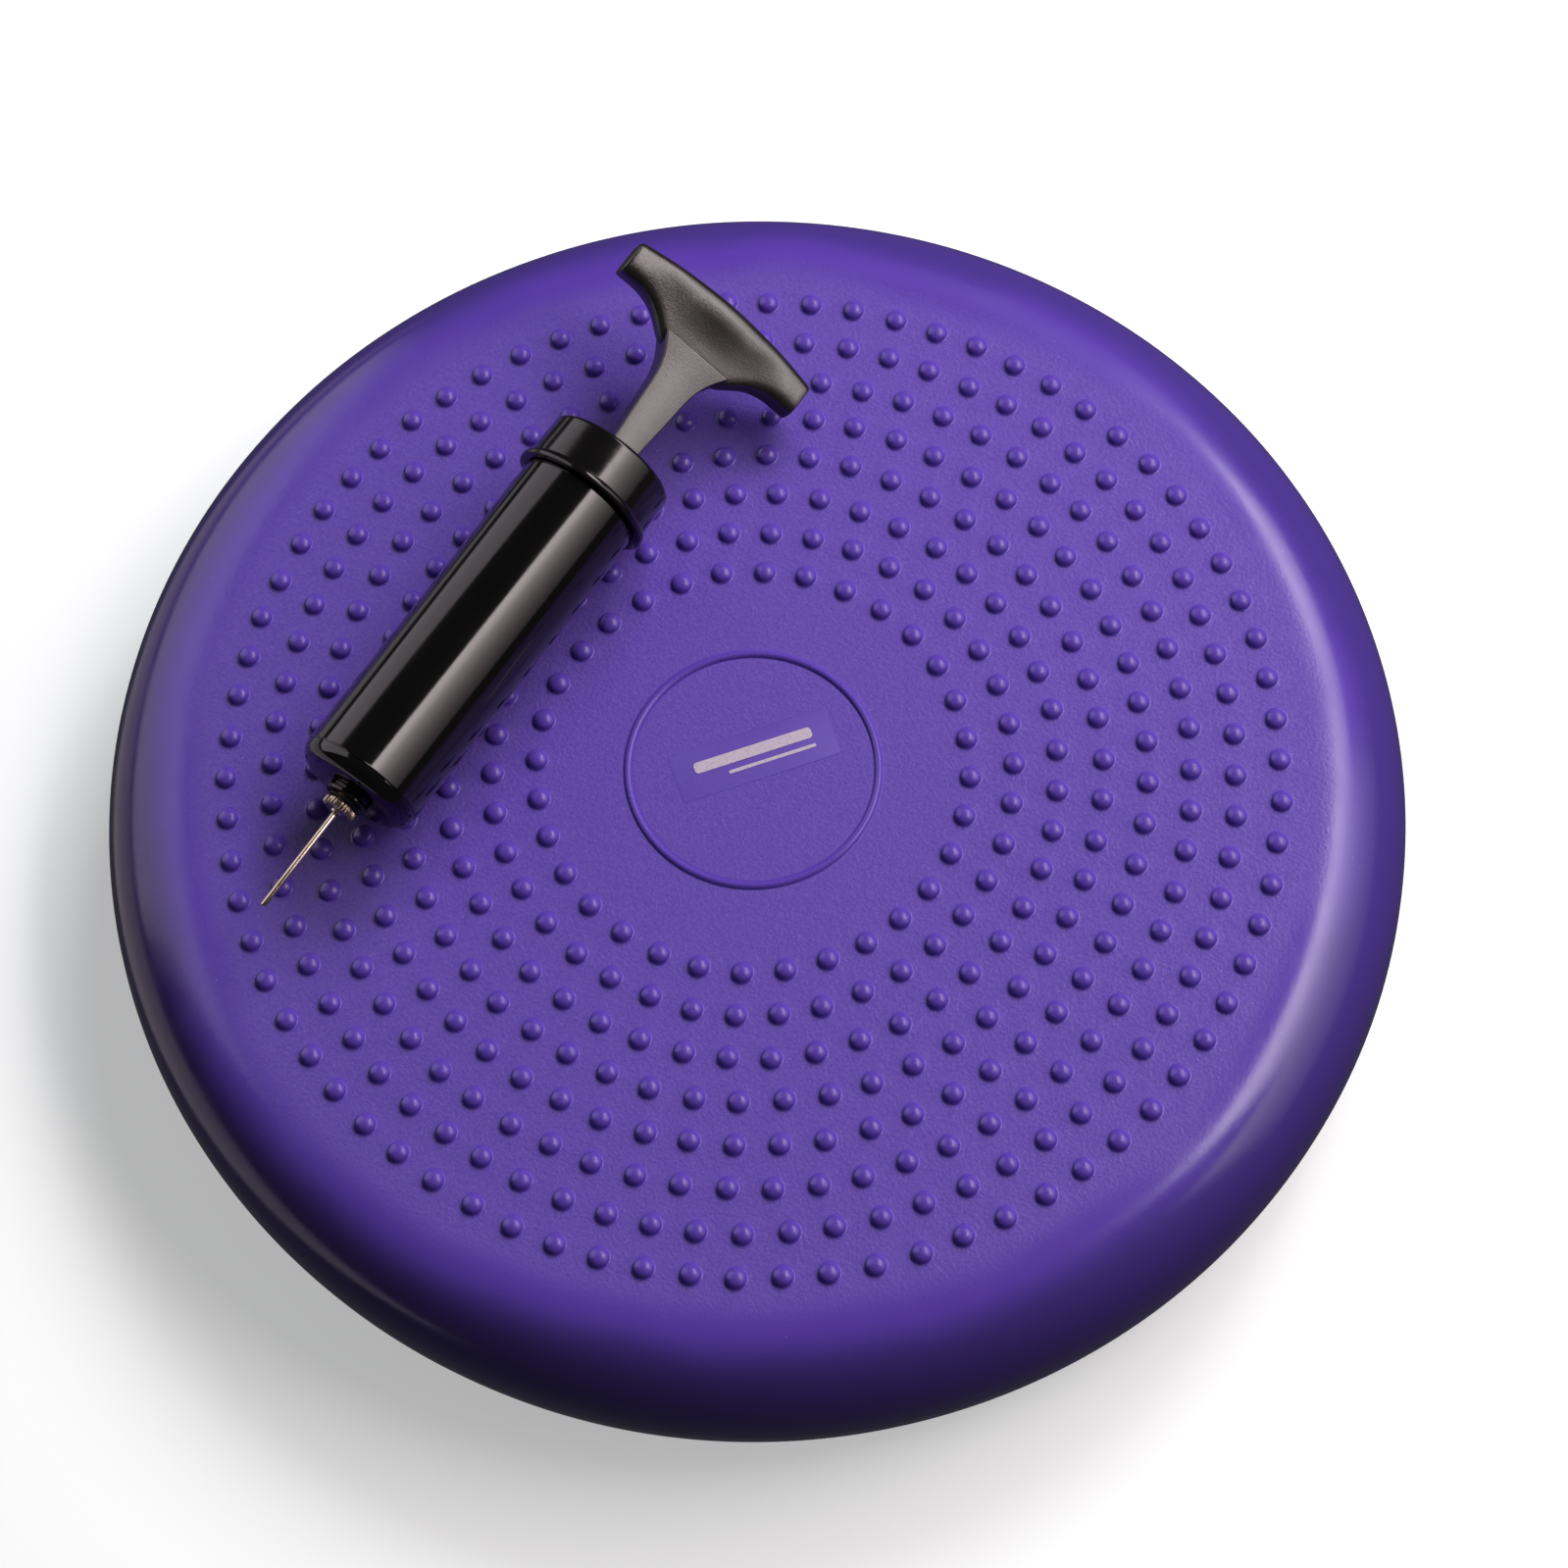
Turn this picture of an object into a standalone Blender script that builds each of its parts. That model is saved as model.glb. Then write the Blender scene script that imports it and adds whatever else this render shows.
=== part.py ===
"""Wobble cushion: an inflatable PVC balance disc with its hand pump and inflating needle lying on top.

Blender 4.5, metres, +Z up. The origin is the centre of the underside, +Z is the disc's axis, and +Y runs
along the pump from its needle to its handle. Lengths below are millimetres unless a name says otherwise.
"""
import math

import bmesh
import bpy
from mathutils import Vector

MM = 0.001
GAP = 0.3                     # clearance that touching pieces keep

# cushion
DISC_R = 165.0                # 33 cm across
EQUATOR_Z = 25.9
RIM_START_R = 140.0           # flat faces end here and the rolled rim begins
RIM_POWER = 2.2               # superellipse exponent of the rim
WALL = 2.5
TOP_Z = 2 * EQUATOR_Z         # smooth skin of the top face
NUB_H = 2.0
NUB_FIELD_IN = 51.4           # the nubs fill this annulus; the solid is their envelope
NUB_FIELD_OUT = 134.9
BEAD_R = 31.4                 # raised ring round the middle
BEAD_W = 2.1
BEAD_H = 0.8
DISC_STEPS = 64
VALVE_AZIMUTH = math.radians(127.5)
VALVE_HOLE_R = 5.0

# label
LABEL_W, LABEL_H, LABEL_T = 41.6, 13.4, 0.2
LABEL_X, LABEL_Y, LABEL_TURN = -1.9, 3.2, math.radians(54.1)

# pump, measured along its axis from the cap's lip, towards the handle
BARREL_R = 16.4
BARREL_WALL = 1.8
NOSE_Y = -95.4
NOSE_FILLET = 4.0
NOSE_WALL = 3.4
NECK_R = 15.6                 # barrel's threaded neck inside the cap
NECK_Y = 11.5
LIP_R = 18.8
CAP_R = 17.6
CAP_Y = 14.5
STUB_R = 5.5
STUB_RING_R = 6.05
STUB_Y = -97.7
PUMP_X, PUMP_Y = -72.5, 27.35
PUMP_Z = TOP_Z + NUB_H + GAP + LIP_R
PUMP_TILT = math.atan((LIP_R - BARREL_R) / 91.4)
ROLL = math.radians(25.7)     # the handle's right arm hangs towards the cushion

# plunger
ROD_W, ROD_T = 8.0, 9.4
ROD_END_Y = -84.0
GRIP_HALF = 28.4
GRIP_T = 5.2                  # half thickness

# needle
HEAD_R = 4.35
HEAD_Y0, HEAD_Y1 = -98.9, -101.3
NEEDLE_R = 0.8
NEEDLE_TIP_Y = -130.9

for old in list(bpy.data.objects):
    bpy.data.objects.remove(old, do_unlink=True)

parts = bpy.data.collections.new("wobble_cushion")
cutters = bpy.data.collections.new("cutters")
bpy.context.scene.collection.children.link(parts)
bpy.context.scene.collection.children.link(cutters)


def material(name, colour, roughness, metallic=0.0, alpha=1.0):
    mat = bpy.data.materials.new(name)
    mat.use_nodes = True
    bsdf = mat.node_tree.nodes["Principled BSDF"]
    bsdf.inputs["Base Color"].default_value = (*colour, 1.0)
    bsdf.inputs["Roughness"].default_value = roughness
    bsdf.inputs["Metallic"].default_value = metallic
    bsdf.inputs["Alpha"].default_value = alpha
    return mat


def add(name, mesh, mat, parent=None, cutter=False):
    obj = bpy.data.objects.new(name, mesh)
    (cutters if cutter else parts).objects.link(obj)
    obj.parent = parent
    if mat:
        mesh.materials.append(mat)
    if cutter:
        obj.hide_render = True
        obj.display_type = "WIRE"
    return obj


def empty(name, location=(0, 0, 0), rotation=(0, 0, 0), parent=None):
    obj = bpy.data.objects.new(name, None)
    obj.empty_display_size = 0.02
    obj.location = Vector(location) * MM
    obj.rotation_euler = rotation
    obj.parent = parent
    parts.objects.link(obj)
    return obj


def turned(name, chains, mat, steps, parent=None, closed=False, cutter=False, along_y=True):
    """Screw one or more (radius, height) profiles; each runs down its outer side."""
    mesh = bpy.data.meshes.new(name)
    verts, edges = [], []
    for chain in chains:
        first = len(verts)
        verts += [(r * MM, 0.0, z * MM) for r, z in chain]
        edges += [(first + i, first + i + 1) for i in range(len(chain) - 1)]
        if closed:
            edges.append((len(verts) - 1, first))
    mesh.from_pydata(verts, edges, [])
    obj = add(name, mesh, mat, parent, cutter)
    screw = obj.modifiers.new("Screw", "SCREW")
    screw.axis = "Z"
    screw.angle = math.tau
    screw.steps = screw.render_steps = steps
    screw.use_merge_vertices = True
    screw.merge_threshold = 0.00001
    screw.use_smooth_shade = True
    if along_y:
        obj.rotation_euler = (-math.pi / 2, 0, 0)
    return obj


def plate(name, outline, half_t, mat, parent=None, bevel=0.0, cutter=False):
    """Flat outline in local X and Y, thick along local Z."""
    bm = bmesh.new()
    ring = [bm.verts.new((x * MM, y * MM, -half_t * MM)) for x, y in outline]
    face = bm.faces.new(ring)
    lifted = bmesh.ops.extrude_face_region(bm, geom=[face])
    top = [v for v in lifted["geom"] if isinstance(v, bmesh.types.BMVert)]
    bmesh.ops.translate(bm, verts=top, vec=(0, 0, 2 * half_t * MM))
    bmesh.ops.recalc_face_normals(bm, faces=bm.faces)
    mesh = bpy.data.meshes.new(name)
    bm.to_mesh(mesh)
    bm.free()
    obj = add(name, mesh, mat, parent, cutter)
    if bevel:
        mod = obj.modifiers.new("Bevel", "BEVEL")
        mod.width = bevel * MM
        mod.segments = 2
        mod.limit_method = "ANGLE"
        mod.angle_limit = math.radians(50)
    return obj


def boolean(obj, cutter, operation="DIFFERENCE"):
    mod = obj.modifiers.new(cutter.name, "BOOLEAN")
    mod.operation = operation
    mod.solver = "EXACT"
    mod.object = cutter
    return mod


def box_cutter(name, size, location, parent=None, rotation=(0, 0, 0)):
    bm = bmesh.new()
    bmesh.ops.create_cube(bm, size=1.0)
    bmesh.ops.scale(bm, vec=Vector(size) * MM, verts=bm.verts)
    mesh = bpy.data.meshes.new(name)
    bm.to_mesh(mesh)
    bm.free()
    obj = add(name, mesh, None, parent, cutter=True)
    obj.location = Vector(location) * MM
    obj.rotation_euler = rotation
    return obj


# ---------------------------------------------------------------- materials
pvc = material("purple_pvc", (0.105, 0.060, 0.330), 0.42)
valve_rubber = material("valve_rubber", (0.035, 0.025, 0.090), 0.70)
valve_pvc = material("valve_pvc", (0.090, 0.050, 0.290), 0.45)
film = material("clear_film", (0.75, 0.72, 0.85), 0.18, alpha=0.35)
gloss_black = material("gloss_black_plastic", (0.012, 0.011, 0.011), 0.14)
cap_black = material("cap_black_plastic", (0.013, 0.012, 0.012), 0.18)
satin_black = material("satin_black_plastic", (0.030, 0.027, 0.025), 0.42)
piston_plastic = material("piston_plastic", (0.55, 0.54, 0.50), 0.45)
nickel = material("nickel_plated_brass", (0.62, 0.53, 0.42), 0.24, 1.0)
needle_steel = material("needle_steel", (0.60, 0.52, 0.42), 0.22, 1.0)
brass = material("brass", (0.58, 0.44, 0.20), 0.30, 1.0)
black_rubber = material("black_rubber", (0.020, 0.020, 0.020), 0.75)
gasket_rubber = material("gasket_rubber", (0.030, 0.028, 0.028), 0.80)
cup_rubber = material("cup_rubber", (0.025, 0.024, 0.024), 0.60)
zinc = material("zinc_plated_steel", (0.60, 0.60, 0.58), 0.32, 1.0)
washer_steel = material("washer_steel", (0.52, 0.52, 0.52), 0.35, 1.0)


# ---------------------------------------------------------------- cushion
def rim(offset, count, start_deg=90.0, end_deg=-90.0):
    """Points down the rolled rim; offset shrinks it to the inner wall."""
    a = DISC_R - RIM_START_R - offset
    b = EQUATOR_Z - offset
    out = []
    for i in range(count):
        t = math.radians(start_deg + (end_deg - start_deg) * i / (count - 1))
        c, s = math.cos(t), math.sin(t)
        out.append((RIM_START_R + a * abs(c) ** (2 / RIM_POWER),
                    EQUATOR_Z + b * math.copysign(abs(s) ** (2 / RIM_POWER), s)))
    return out


outer = [
    (0, TOP_Z),
    (BEAD_R - BEAD_W / 2, TOP_Z),
    (BEAD_R - BEAD_W / 4, TOP_Z + BEAD_H),
    (BEAD_R + BEAD_W / 4, TOP_Z + BEAD_H),
    (BEAD_R + BEAD_W / 2, TOP_Z),
    (NUB_FIELD_IN - 0.4, TOP_Z),
    (NUB_FIELD_IN + 0.4, TOP_Z + NUB_H),
    (NUB_FIELD_OUT - 0.4, TOP_Z + NUB_H),
    (NUB_FIELD_OUT + 0.4, TOP_Z),
] + rim(0.0, 13) + [(0, 0)]
inner = [(0, WALL)] + list(reversed(rim(WALL, 9))) + [(0, TOP_Z - WALL)]
shell = turned("cushion_shell", [outer, inner], pvc, DISC_STEPS, along_y=False)

valve_axis = empty("valve_axis", (0, 0, EQUATOR_Z), (0, 0, VALVE_AZIMUTH - math.pi / 2))
hole = turned("valve_hole", [[(0, 175), (VALVE_HOLE_R, 175), (VALVE_HOLE_R, 152), (0, 152)]],
              None, 24, parent=valve_axis, cutter=True)
boolean(shell, hole)

# moulded boss behind the rim: a tube through the hole with a flange inside the wall
turned("valve_seat", [[
    (4.0, 164.6), (VALVE_HOLE_R - GAP, 164.6), (VALVE_HOLE_R - GAP, 160.8), (9.0, 160.8), (9.0, 158.9),
    (VALVE_HOLE_R - GAP, 158.9), (VALVE_HOLE_R - 0.7, 150.5), (2.6, 150.5), (2.6, 162.9), (4.0, 162.9)]],
    valve_pvc, 24, parent=valve_axis, closed=True)
# self-closing rubber plug with a blind needle channel
turned("valve_core", [[
    (0, 155.0), (0.6, 155.0), (0.6, 164.5), (3.0, 164.5), (3.7, 164.1), (3.7, 163.2), (2.3, 163.2),
    (2.3, 152.0), (1.5, 149.6), (0, 149.6)]],
    valve_rubber, 20, parent=valve_axis)

# small clear label inside the middle ring
half_w, half_h, corner = LABEL_W / 2, LABEL_H / 2, 0.8
label = plate("label_film", [
    (half_w - corner, -half_h), (half_w, -half_h + corner), (half_w, half_h - corner), (half_w - corner, half_h),
    (-half_w + corner, half_h), (-half_w, half_h - corner), (-half_w, -half_h + corner), (-half_w + corner, -half_h)],
    LABEL_T / 2, film)
label.location = Vector((LABEL_X, LABEL_Y, TOP_Z + GAP + LABEL_T / 2)) * MM
label.rotation_euler = (0, 0, LABEL_TURN)

# ---------------------------------------------------------------- pump body
pump_axis = empty("pump_axis", (PUMP_X, PUMP_Y, PUMP_Z), (PUMP_TILT, 0, 0))
roll_axis = empty("plunger_axis", rotation=(0, ROLL, 0), parent=pump_axis)

fillet = [(BARREL_R - NOSE_FILLET + NOSE_FILLET * math.cos(math.radians(a)),
           NOSE_Y + NOSE_FILLET - NOSE_FILLET * math.sin(math.radians(a))) for a in (0, 22.5, 45, 67.5, 90)]
bore_r = BARREL_R - BARREL_WALL
nose_in = NOSE_Y + NOSE_WALL
turned("pump_barrel", [[
    (bore_r, NECK_Y), (NECK_R, NECK_Y), (NECK_R, -GAP), (BARREL_R, -GAP)] + fillet + [
    (STUB_R, NOSE_Y), (STUB_R, NOSE_Y - 1.2), (STUB_RING_R, NOSE_Y - 1.2), (STUB_RING_R, STUB_Y),
    (4.7, STUB_Y), (4.7, nose_in - 1.0), (1.0, nose_in - 1.0), (1.0, nose_in), (bore_r - 0.4, nose_in),
    (bore_r, nose_in + 0.4)]],
    gloss_black, 36, parent=pump_axis, closed=True)

cap = turned("pump_cap", [[
    (0, CAP_Y), (CAP_R - 2.0, CAP_Y), (CAP_R - 0.8, CAP_Y - 0.6), (CAP_R - 0.3, CAP_Y - 1.8), (CAP_R, 2.4),
    (LIP_R - 0.3, 1.6), (LIP_R, 1.0), (LIP_R, 0.4), (LIP_R - 0.4, 0), (NECK_R + GAP, 0),
    (NECK_R + GAP, CAP_Y - 2.8), (0, CAP_Y - 2.8)]],
    cap_black, 36, parent=pump_axis)
slot = box_cutter("rod_slot", (ROD_W + 2 * GAP, 12.0, ROD_T + 2 * GAP), (0, CAP_Y - 1.4, 0), parent=roll_axis)
boolean(cap, slot)

turned("nozzle_insert", [[
    (3.3, STUB_Y + 3.4), (4.4, STUB_Y + 3.4), (4.4, STUB_Y + 0.2), (3.3, STUB_Y + 0.2)]],
    brass, 24, parent=pump_axis, closed=True)
turned("check_valve_flap", [[(0, nose_in - 1.3), (4.1, nose_in - 1.3), (4.1, nose_in - 1.9), (0, nose_in - 1.9)]],
       black_rubber, 20, parent=pump_axis)

# ---------------------------------------------------------------- plunger
web_half = [
    (ROD_W / 2, ROD_END_Y), (ROD_W / 2, 20.0), (4.7, 26.5), (5.0, 31.0), (5.3, 36.0), (5.9, 40.0), (6.7, 42.5),
    (7.7, 44.7), (9.1, 47.0), (11.0, 49.2), (13.4, 51.2), (14.4, 56.0)]
web_outline = web_half + [(-x, y) for x, y in reversed(web_half)]
handle = plate("plunger_handle", web_outline, ROD_T / 2, satin_black, parent=roll_axis)

bm = bmesh.new()
rings = []
STATIONS = 12
for i in range(STATIONS + 1):
    u = -GRIP_HALF + 2 * GRIP_HALF * i / STATIONS
    k = abs(u) / GRIP_HALF
    high = 65.5 - 2.7 * k * k                      # convex outer edge
    low = 53.1 - 4.6 * max(0.0, 1 - k / 0.72) ** 1.3
    t = GRIP_T - 0.4 * k * k
    half = [
        (high, t * 0.45), (high - 0.8, t * 0.84), (high - 2.4, t), (low + 5.6, t - 0.9), (low + 3.6, t - 0.8),
        (low + 1.5, t * 0.68), (low + 0.4, t * 0.36)]
    section = half + [(low, 0.0)] + [(v, -w) for v, w in reversed(half)]
    rings.append([bm.verts.new((u * MM, v * MM, w * MM)) for v, w in section])
for a, b in zip(rings, rings[1:]):
    n = len(a)
    for j in range(n):
        bm.faces.new((a[j], a[(j + 1) % n], b[(j + 1) % n], b[j]))
bm.faces.new(rings[0])
bm.faces.new(list(reversed(rings[-1])))
bmesh.ops.recalc_face_normals(bm, faces=bm.faces)
grip_mesh = bpy.data.meshes.new("grip")
bm.to_mesh(grip_mesh)
bm.free()
grip = add("grip", grip_mesh, None, roll_axis, cutter=True)
boolean(handle, grip, "UNION")
screw_hole = turned("screw_hole", [[(0, ROD_END_Y + 13), (1.6, ROD_END_Y + 13), (1.6, ROD_END_Y - 2),
                                    (0, ROD_END_Y - 2)]], None, 16, parent=roll_axis, cutter=True)
boolean(handle, screw_hole)

turned("piston_back_disc", [[(1.6, -84.3), (12.6, -84.3), (13.6, -85.0), (13.6, -86.6), (1.6, -86.6)]],
       piston_plastic, 28, parent=roll_axis, closed=True)
turned("piston_cup", [[
    (1.6, -86.9), (12.4, -86.9), (13.6, -87.6), (14.3, -91.2), (13.2, -91.2), (12.2, -88.4), (1.6, -88.4)]],
    cup_rubber, 28, parent=roll_axis, closed=True)
turned("piston_front_washer", [[(1.6, -88.7), (9.0, -88.7), (9.0, -89.5), (1.6, -89.5)]],
       washer_steel, 24, parent=roll_axis, closed=True)
turned("piston_screw", [[
    (0, -72.0), (0.5, -72.6), (1.3, -74.0), (1.3, -89.8), (3.2, -89.8), (3.2, -90.6), (2.4, -91.5), (0, -91.5)]],
    zinc, 16, parent=roll_axis)

# ---------------------------------------------------------------- needle
turned("needle_gasket", [[(3.3, STUB_Y - 0.3), (4.4, STUB_Y - 0.3), (4.4, STUB_Y - 0.9), (3.3, STUB_Y - 0.9)]],
       gasket_rubber, 24, parent=pump_axis, closed=True)

needle_axis = empty("needle_axis", parent=pump_axis)
bm = bmesh.new()
KNURLS = 28
outline = []
for i in range(2 * KNURLS):
    a = math.tau * i / (2 * KNURLS)
    r = HEAD_R if i % 2 == 0 else HEAD_R - 0.35
    outline.append((r * math.cos(a), r * math.sin(a)))
knurl = plate("needle_fitting", outline, (HEAD_Y0 - HEAD_Y1) / 2, nickel, parent=needle_axis)
knurl.location = (0, (HEAD_Y0 + HEAD_Y1) / 2 * MM, 0)
knurl.rotation_euler = (math.pi / 2, 0, 0)
bm.free()
thread = turned("needle_thread", [[(0, -94.6), (2.6, -94.6), (3.0, -95.0), (3.0, -100.0), (0, -100.0)]],
                None, 20, parent=needle_axis, cutter=True)
boolean(knurl, thread, "UNION")
needle_bore = turned("needle_bore", [[(0, -93), (NEEDLE_R + GAP, -93), (NEEDLE_R + GAP, -104), (0, -104)]],
                     None, 16, parent=needle_axis, cutter=True)
boolean(knurl, needle_bore)

turned("needle_tube", [[
    (0.45, -95.2), (NEEDLE_R, -95.2), (NEEDLE_R, NEEDLE_TIP_Y + 0.4), (0.62, NEEDLE_TIP_Y), (0.45, NEEDLE_TIP_Y)]],
    needle_steel, 14, parent=needle_axis, closed=True)

for obj in parts.objects:
    if obj.type == "MESH":
        for poly in obj.data.polygons:
            poly.use_smooth = True
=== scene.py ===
"""Looks of the wobble cushion with its hand pump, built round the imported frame. Metres, +Z up."""

import math
import random

import bmesh
import bpy
from mathutils import Matrix, Vector, noise
from mathutils.geometry import delaunay_2d_cdt


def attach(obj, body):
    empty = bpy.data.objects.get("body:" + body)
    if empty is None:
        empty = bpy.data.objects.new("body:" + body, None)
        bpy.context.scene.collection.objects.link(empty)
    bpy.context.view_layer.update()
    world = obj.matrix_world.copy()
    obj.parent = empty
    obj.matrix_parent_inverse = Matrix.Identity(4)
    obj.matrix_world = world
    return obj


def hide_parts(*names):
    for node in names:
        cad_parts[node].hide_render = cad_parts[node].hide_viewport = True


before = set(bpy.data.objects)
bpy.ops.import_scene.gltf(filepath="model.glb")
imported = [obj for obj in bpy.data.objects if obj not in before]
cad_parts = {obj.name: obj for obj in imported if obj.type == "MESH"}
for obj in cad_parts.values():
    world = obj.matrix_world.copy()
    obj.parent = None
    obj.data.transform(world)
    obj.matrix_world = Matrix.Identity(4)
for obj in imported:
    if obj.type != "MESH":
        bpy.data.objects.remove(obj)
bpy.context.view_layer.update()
MM = 0.001
rng = random.Random(7)

# ------------------------------------------------------------------ sizes, as the CAD has them (mm)
DISC_R, EQUATOR_Z, RIM_START_R, RIM_POWER, WALL = 165.0, 25.9, 140.0, 2.2, 2.5
TOP_Z = 2 * EQUATOR_Z
NUB_H = 2.0
BEAD_R = 31.4
VALVE_AZIMUTH = math.radians(127.5)
PUMP = Matrix.Translation(Vector((-72.5, 27.35, TOP_Z + NUB_H + 0.3 + 18.8)) * MM) @ Matrix.Rotation(
    math.atan((18.8 - 16.4) / 91.4), 4, "X")
ROLL = PUMP @ Matrix.Rotation(math.radians(25.7), 4, "Y")
LABEL = Matrix.Translation(Vector((-1.9, 3.2, TOP_Z)) * MM) @ Matrix.Rotation(math.radians(54.1), 4, "Z")


# ------------------------------------------------------------------ helpers
def link(obj):
    bpy.context.scene.collection.objects.link(obj)
    return obj


def mesh_from(name, verts, faces, scale=MM):
    me = bpy.data.meshes.new(name)
    me.from_pydata([(x * scale, y * scale, z * scale) for x, y, z in verts], [], faces)
    me.validate()
    return me


def tidy(me, weld=None, outward=True):
    bm = bmesh.new()
    bm.from_mesh(me)
    if weld:
        bmesh.ops.remove_doubles(bm, verts=bm.verts, dist=weld)
    if outward:
        bmesh.ops.recalc_face_normals(bm, faces=bm.faces)
    bm.to_mesh(me)
    bm.free()


def smooth(me, angle=None):
    for p in me.polygons:
        p.use_smooth = True
    if angle is not None:
        me.set_sharp_from_angle(angle=math.radians(angle))


def piece(name, me, mat, body, replaces=(), matrix=None):
    obj = link(bpy.data.objects.new(name, me))
    if matrix is not None:
        me.transform(matrix)
    keep = [p.material_index for p in me.polygons] if isinstance(mat, tuple) else None
    me.materials.clear()
    for one in mat if keep else (mat,):
        me.materials.append(one)
    if keep:
        me.polygons.foreach_set("material_index", keep)
    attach(obj, body)
    if replaces:
        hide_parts(*replaces)
    return obj


def lathe(profile, steps, closed=False):
    """Turns (radius, height) points about local Y. Points on the axis become single vertices."""
    verts, rings = [], []
    for r, h in profile:
        if r < 1e-6:
            rings.append([len(verts)])
            verts.append((0.0, h, 0.0))
        else:
            rings.append(list(range(len(verts), len(verts) + steps)))
            verts += [(r * math.sin(math.tau * i / steps), h, r * math.cos(math.tau * i / steps)) for i in range(steps)]
    faces = []
    pairs = list(zip(rings, rings[1:])) + ([(rings[-1], rings[0])] if closed else [])
    for a, b in pairs:
        if len(a) == 1 and len(b) == 1:
            continue
        for i in range(steps):
            j = (i + 1) % steps
            if len(a) == 1:
                faces.append((a[0], b[j], b[i]))
            elif len(b) == 1:
                faces.append((a[i], a[j], b[0]))
            else:
                faces.append((a[i], a[j], b[j], b[i]))
    return verts, faces


def rounded(profile, radii, seg=5):
    """Rounds the inner corners of an open profile, each with its own radius in radii (0 leaves it sharp)."""
    out = [profile[0]]
    for k in range(1, len(profile) - 1):
        p, r = Vector(profile[k]), radii[k] if k < len(radii) else 0
        a, b = Vector(profile[k - 1]) - p, Vector(profile[k + 1]) - p
        if r <= 0 or a.length < 1e-6 or b.length < 1e-6:
            out.append(tuple(p))
            continue
        half = a.angle(b) / 2
        near = [0.49 if 0 < j < len(radii) and radii[j] > 0 else 0.97 for j in (k - 1, k + 1)]
        cut = min(r / math.tan(half), a.length * near[0], b.length * near[1])
        r = cut * math.tan(half)
        centre = p + (a.normalized() + b.normalized()).normalized() * (r / math.sin(half))
        s, e = p + a.normalized() * cut - centre, p + b.normalized() * cut - centre
        for i in range(seg + 1):
            d = s.lerp(e, i / seg)
            out.append(tuple(centre + d.normalized() * r))
    out.append(profile[-1])
    return out


def turned(name, profile, steps, mat, body, replaces=(), matrix=PUMP, closed=False, angle=35):
    verts, faces = lathe(profile, steps, closed)
    me = mesh_from(name, verts, faces)
    tidy(me)
    smooth(me, angle)
    return piece(name, me, mat, body, replaces, matrix)


def boolean(me_a, me_b, operation="DIFFERENCE", solver="EXACT"):
    """Mesh of a with b, both already in the same space."""
    a = link(bpy.data.objects.new("tmp_a", me_a))
    b = link(bpy.data.objects.new("tmp_b", me_b))
    mod = a.modifiers.new("b", "BOOLEAN")
    mod.operation, mod.solver, mod.object = operation, solver, b
    bpy.context.view_layer.update()
    out = bpy.data.meshes.new_from_object(a.evaluated_get(bpy.context.evaluated_depsgraph_get()))
    bpy.data.objects.remove(a)
    bpy.data.objects.remove(b)
    return out


def bevelled(me, width, segments=3, angle=40):
    o = link(bpy.data.objects.new("tmp", me))
    mod = o.modifiers.new("b", "BEVEL")
    mod.width, mod.segments, mod.limit_method, mod.angle_limit = width * MM, segments, "ANGLE", math.radians(angle)
    bpy.context.view_layer.update()
    out = bpy.data.meshes.new_from_object(o.evaluated_get(bpy.context.evaluated_depsgraph_get()))
    bpy.data.objects.remove(o)
    return out


def prism(outline, lo, hi):
    """Closed solid from a flat outline in X and Y between two heights in Z."""
    n = len(outline)
    verts = [(x, y, lo) for x, y in outline] + [(x, y, hi) for x, y in outline]
    faces = [tuple(reversed(range(n))), tuple(range(n, 2 * n))]
    faces += [(i, (i + 1) % n, n + (i + 1) % n, n + i) for i in range(n)]
    me = mesh_from("prism", verts, faces)
    tidy(me)
    return me


def catmull(points, per=6):
    """Smooth open curve through points."""
    pts = [Vector(points[0]) * 2 - Vector(points[1])] + [Vector(p) for p in points]
    pts.append(Vector(points[-1]) * 2 - Vector(points[-2]))
    out = []
    for i in range(1, len(pts) - 2):
        p0, p1, p2, p3 = pts[i - 1:i + 3]
        for k in range(per):
            t = k / per
            out.append(tuple(0.5 * ((2 * p1) + (p2 - p0) * t + (2 * p0 - 5 * p1 + 4 * p2 - p3) * t * t
                                    + (3 * p1 - p0 - 3 * p2 + p3) * t ** 3)))
    out.append(tuple(pts[-2]))
    return out


def chaikin(points, rounds=2):
    """Smooth closed curve inside a control polygon."""
    for _ in range(rounds):
        nxt = []
        for i, p in enumerate(points):
            q = points[(i + 1) % len(points)]
            nxt.append((p[0] * 0.75 + q[0] * 0.25, p[1] * 0.75 + q[1] * 0.25))
            nxt.append((p[0] * 0.25 + q[0] * 0.75, p[1] * 0.25 + q[1] * 0.75))
        points = nxt
    return points


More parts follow.
